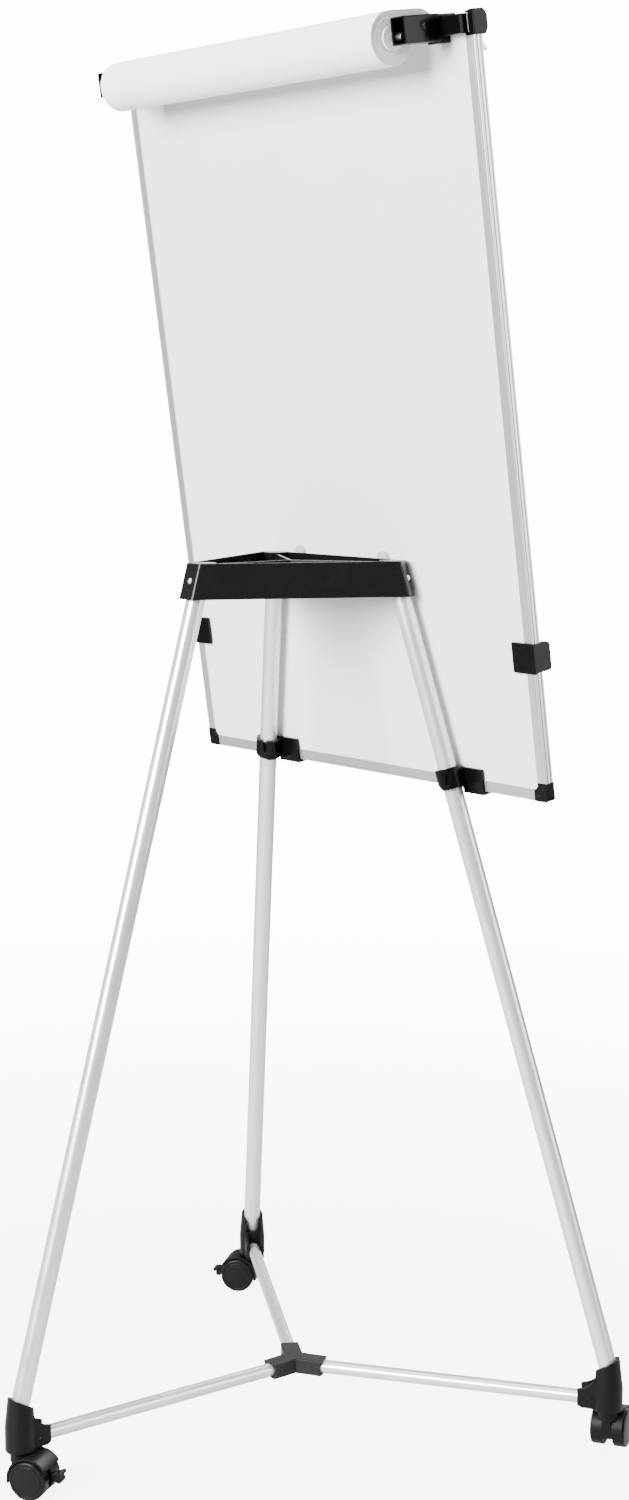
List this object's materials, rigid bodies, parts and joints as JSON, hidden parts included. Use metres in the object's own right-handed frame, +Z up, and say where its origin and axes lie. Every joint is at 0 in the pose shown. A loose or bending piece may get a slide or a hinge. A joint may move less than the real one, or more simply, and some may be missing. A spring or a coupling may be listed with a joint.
{
  "type": "flipchart easel",
  "caption": "Mobile flipchart easel: lacquered board on a tripod of round tubes, with a joined foot star, braked twin-wheel casters and a paper roll behind its top.",
  "frame": {"origin": "centre of the bounding box on the floor, at rest", "axes": "+Z up, -Y the writing side, +Y the side of the single rear leg, +X to the right of someone who faces the writing side"},
  "size_m": [0.8342, 0.7354, 1.8071],
  "materials": {
    "black_gloss": "moulded, semi-gloss",
    "black_plastic": "moulded, satin",
    "hub_plastic": "moulded, matt",
    "wheel_plastic": "moulded, smooth",
    "leg_paint": "light silver-grey powder coat",
    "frame_aluminium": "natural anodised",
    "steel": "zinc plated",
    "black_steel": "black zinc",
    "white_plastic": "moulded, satin",
    "clear_bumper": "clear, soft",
    "rear_enamel": "pale grey coil coat",
    "board_enamel": "white dry-wipe gloss",
    "core_card": "pressed board",
    "paper": "uncoated white"
  },
  "bodies": {
    "base": {"head_shell": "black_gloss", "head_screws": "steel", "head_bumpers": "clear_bumper", "base_hub": "hub_plastic", "hub_screws": "black_steel", "foot_screws": "black_steel", "leg_tube_rear": "leg_paint", "leg_tube_left": "leg_paint", "leg_tube_right": "leg_paint", "strut_rear": "leg_paint", "strut_left": "leg_paint", "strut_right": "leg_paint", "foot_bracket_rear": "black_plastic", "foot_bracket_left": "black_plastic", "foot_bracket_right": "black_plastic"},
    "caster_rear": {"caster_hood_rear": "black_plastic", "caster_axle_rear": "steel"},
    "brake_rear": {"brake_lever_rear": "black_plastic"},
    "wheel_a_rear": {"wheel_a_rear": "wheel_plastic"},
    "wheel_b_rear": {"wheel_b_rear": "wheel_plastic"},
    "caster_left": {"caster_hood_left": "black_plastic", "caster_axle_left": "steel"},
    "brake_left": {"brake_lever_left": "black_plastic"},
    "wheel_a_left": {"wheel_a_left": "wheel_plastic"},
    "wheel_b_left": {"wheel_b_left": "wheel_plastic"},
    "caster_right": {"caster_hood_right": "black_plastic", "caster_axle_right": "steel"},
    "brake_right": {"brake_lever_right": "black_plastic"},
    "wheel_a_right": {"wheel_a_right": "wheel_plastic"},
    "wheel_b_right": {"wheel_b_right": "wheel_plastic"},
    "board": {"frame_left": "frame_aluminium", "frame_right": "frame_aluminium", "frame_bottom": "frame_aluminium", "frame_corner_left": "black_plastic", "frame_corner_right": "black_plastic", "end_cap_left": "black_plastic", "end_cap_right": "black_plastic", "tray_clip_left": "black_plastic", "tray_clip_right": "black_plastic", "roll_arm_left": "black_plastic", "roll_arm_right": "black_plastic", "rear_sheet": "rear_enamel", "board_core": "core_card", "writing_sheet": "board_enamel", "top_rail": "frame_aluminium", "pen_tray": "frame_aluminium", "roll_arm_screws": "black_steel", "hung_sheet": "paper"},
    "leg_clip_left": {"leg_clip_left": "black_plastic"},
    "leg_clip_right": {"leg_clip_right": "black_plastic"},
    "clamp_bar": {"clamp_bar": "frame_aluminium"},
    "roll": {"roll_spindle": "steel", "roll_plugs": "white_plastic", "roll_core": "core_card", "paper_roll": "paper"}
  },
  "joints": [
    {"name": "swivel_rear", "type": "hinge", "parent": "base", "child": "caster_rear", "pos_m": [-0.01503, 0.34501, 0.055], "axis": [0, 0, 1], "continuous": true},
    {"name": "spin_a_rear", "type": "hinge", "parent": "caster_rear", "child": "wheel_a_rear", "pos_m": [-0.03131, 0.33522, 0.025], "axis": [0.515, -0.8572, 0], "continuous": true},
    {"name": "spin_b_rear", "type": "hinge", "parent": "caster_rear", "child": "wheel_b_rear", "pos_m": [-0.03131, 0.33522, 0.025], "axis": [0.515, -0.8572, 0], "continuous": true},
    {"name": "brake_rear", "type": "hinge", "parent": "caster_rear", "child": "brake_rear", "pos_m": [-0.05531, 0.3208, 0.028], "axis": [0.515, -0.8572, 0], "range_deg": [0, 32]},
    {"name": "swivel_left", "type": "hinge", "parent": "base", "child": "caster_left", "pos_m": [-0.39435, -0.31199, 0.055], "axis": [0, 0, 1], "continuous": true},
    {"name": "spin_a_left", "type": "hinge", "parent": "caster_left", "child": "wheel_a_left", "pos_m": [-0.38485, -0.32844, 0.025], "axis": [0.866, 0.5, 0], "continuous": true},
    {"name": "spin_b_left", "type": "hinge", "parent": "caster_left", "child": "wheel_b_left", "pos_m": [-0.38485, -0.32844, 0.025], "axis": [0.866, 0.5, 0], "continuous": true},
    {"name": "brake_left", "type": "hinge", "parent": "caster_left", "child": "brake_left", "pos_m": [-0.37085, -0.35269, 0.028], "axis": [0.866, 0.5, 0], "range_deg": [0, 32]},
    {"name": "swivel_right", "type": "hinge", "parent": "base", "child": "caster_right", "pos_m": [0.36429, -0.31199, 0.055], "axis": [0, 0, 1], "continuous": true},
    {"name": "spin_a_right", "type": "hinge", "parent": "caster_right", "child": "wheel_a_right", "pos_m": [0.37927, -0.30029, 0.025], "axis": [-0.6157, 0.788, 0], "continuous": true},
    {"name": "spin_b_right", "type": "hinge", "parent": "caster_right", "child": "wheel_b_right", "pos_m": [0.37927, -0.30029, 0.025], "axis": [-0.6157, 0.788, 0], "continuous": true},
    {"name": "brake_right", "type": "hinge", "parent": "caster_right", "child": "brake_right", "pos_m": [0.40133, -0.28305, 0.028], "axis": [-0.6157, 0.788, 0], "range_deg": [-32, 0]},
    {"name": "board_height", "type": "slide", "parent": "base", "child": "board", "axis": [0, 0.142, 0.9899], "range_m": [-0.12, 0.1]},
    {"name": "leg_clip_left", "type": "slide", "parent": "base", "child": "leg_clip_left", "axis": [0.2389, 0.1379, 0.9612], "range_m": [-0.124, 0.1035]},
    {"name": "leg_clip_right", "type": "slide", "parent": "base", "child": "leg_clip_right", "axis": [-0.2389, 0.1379, 0.9612], "range_m": [-0.124, 0.1035]},
    {"name": "clamp_bar_hinge", "type": "hinge", "parent": "board", "child": "clamp_bar", "pos_m": [-0.01503, -0.10417, 1.79176], "axis": [-1, 0, 0], "range_deg": [0, 40]},
    {"name": "roll_spin", "type": "hinge", "parent": "board", "child": "roll", "pos_m": [-0.01503, -0.02669, 1.76852], "axis": [1, 0, 0], "continuous": true}
  ],
  "couplings": [
    {"joint": "leg_clip_left", "follows": "board_height", "ratio": 1.0298},
    {"joint": "leg_clip_right", "follows": "board_height", "ratio": 1.0298}
  ]
}
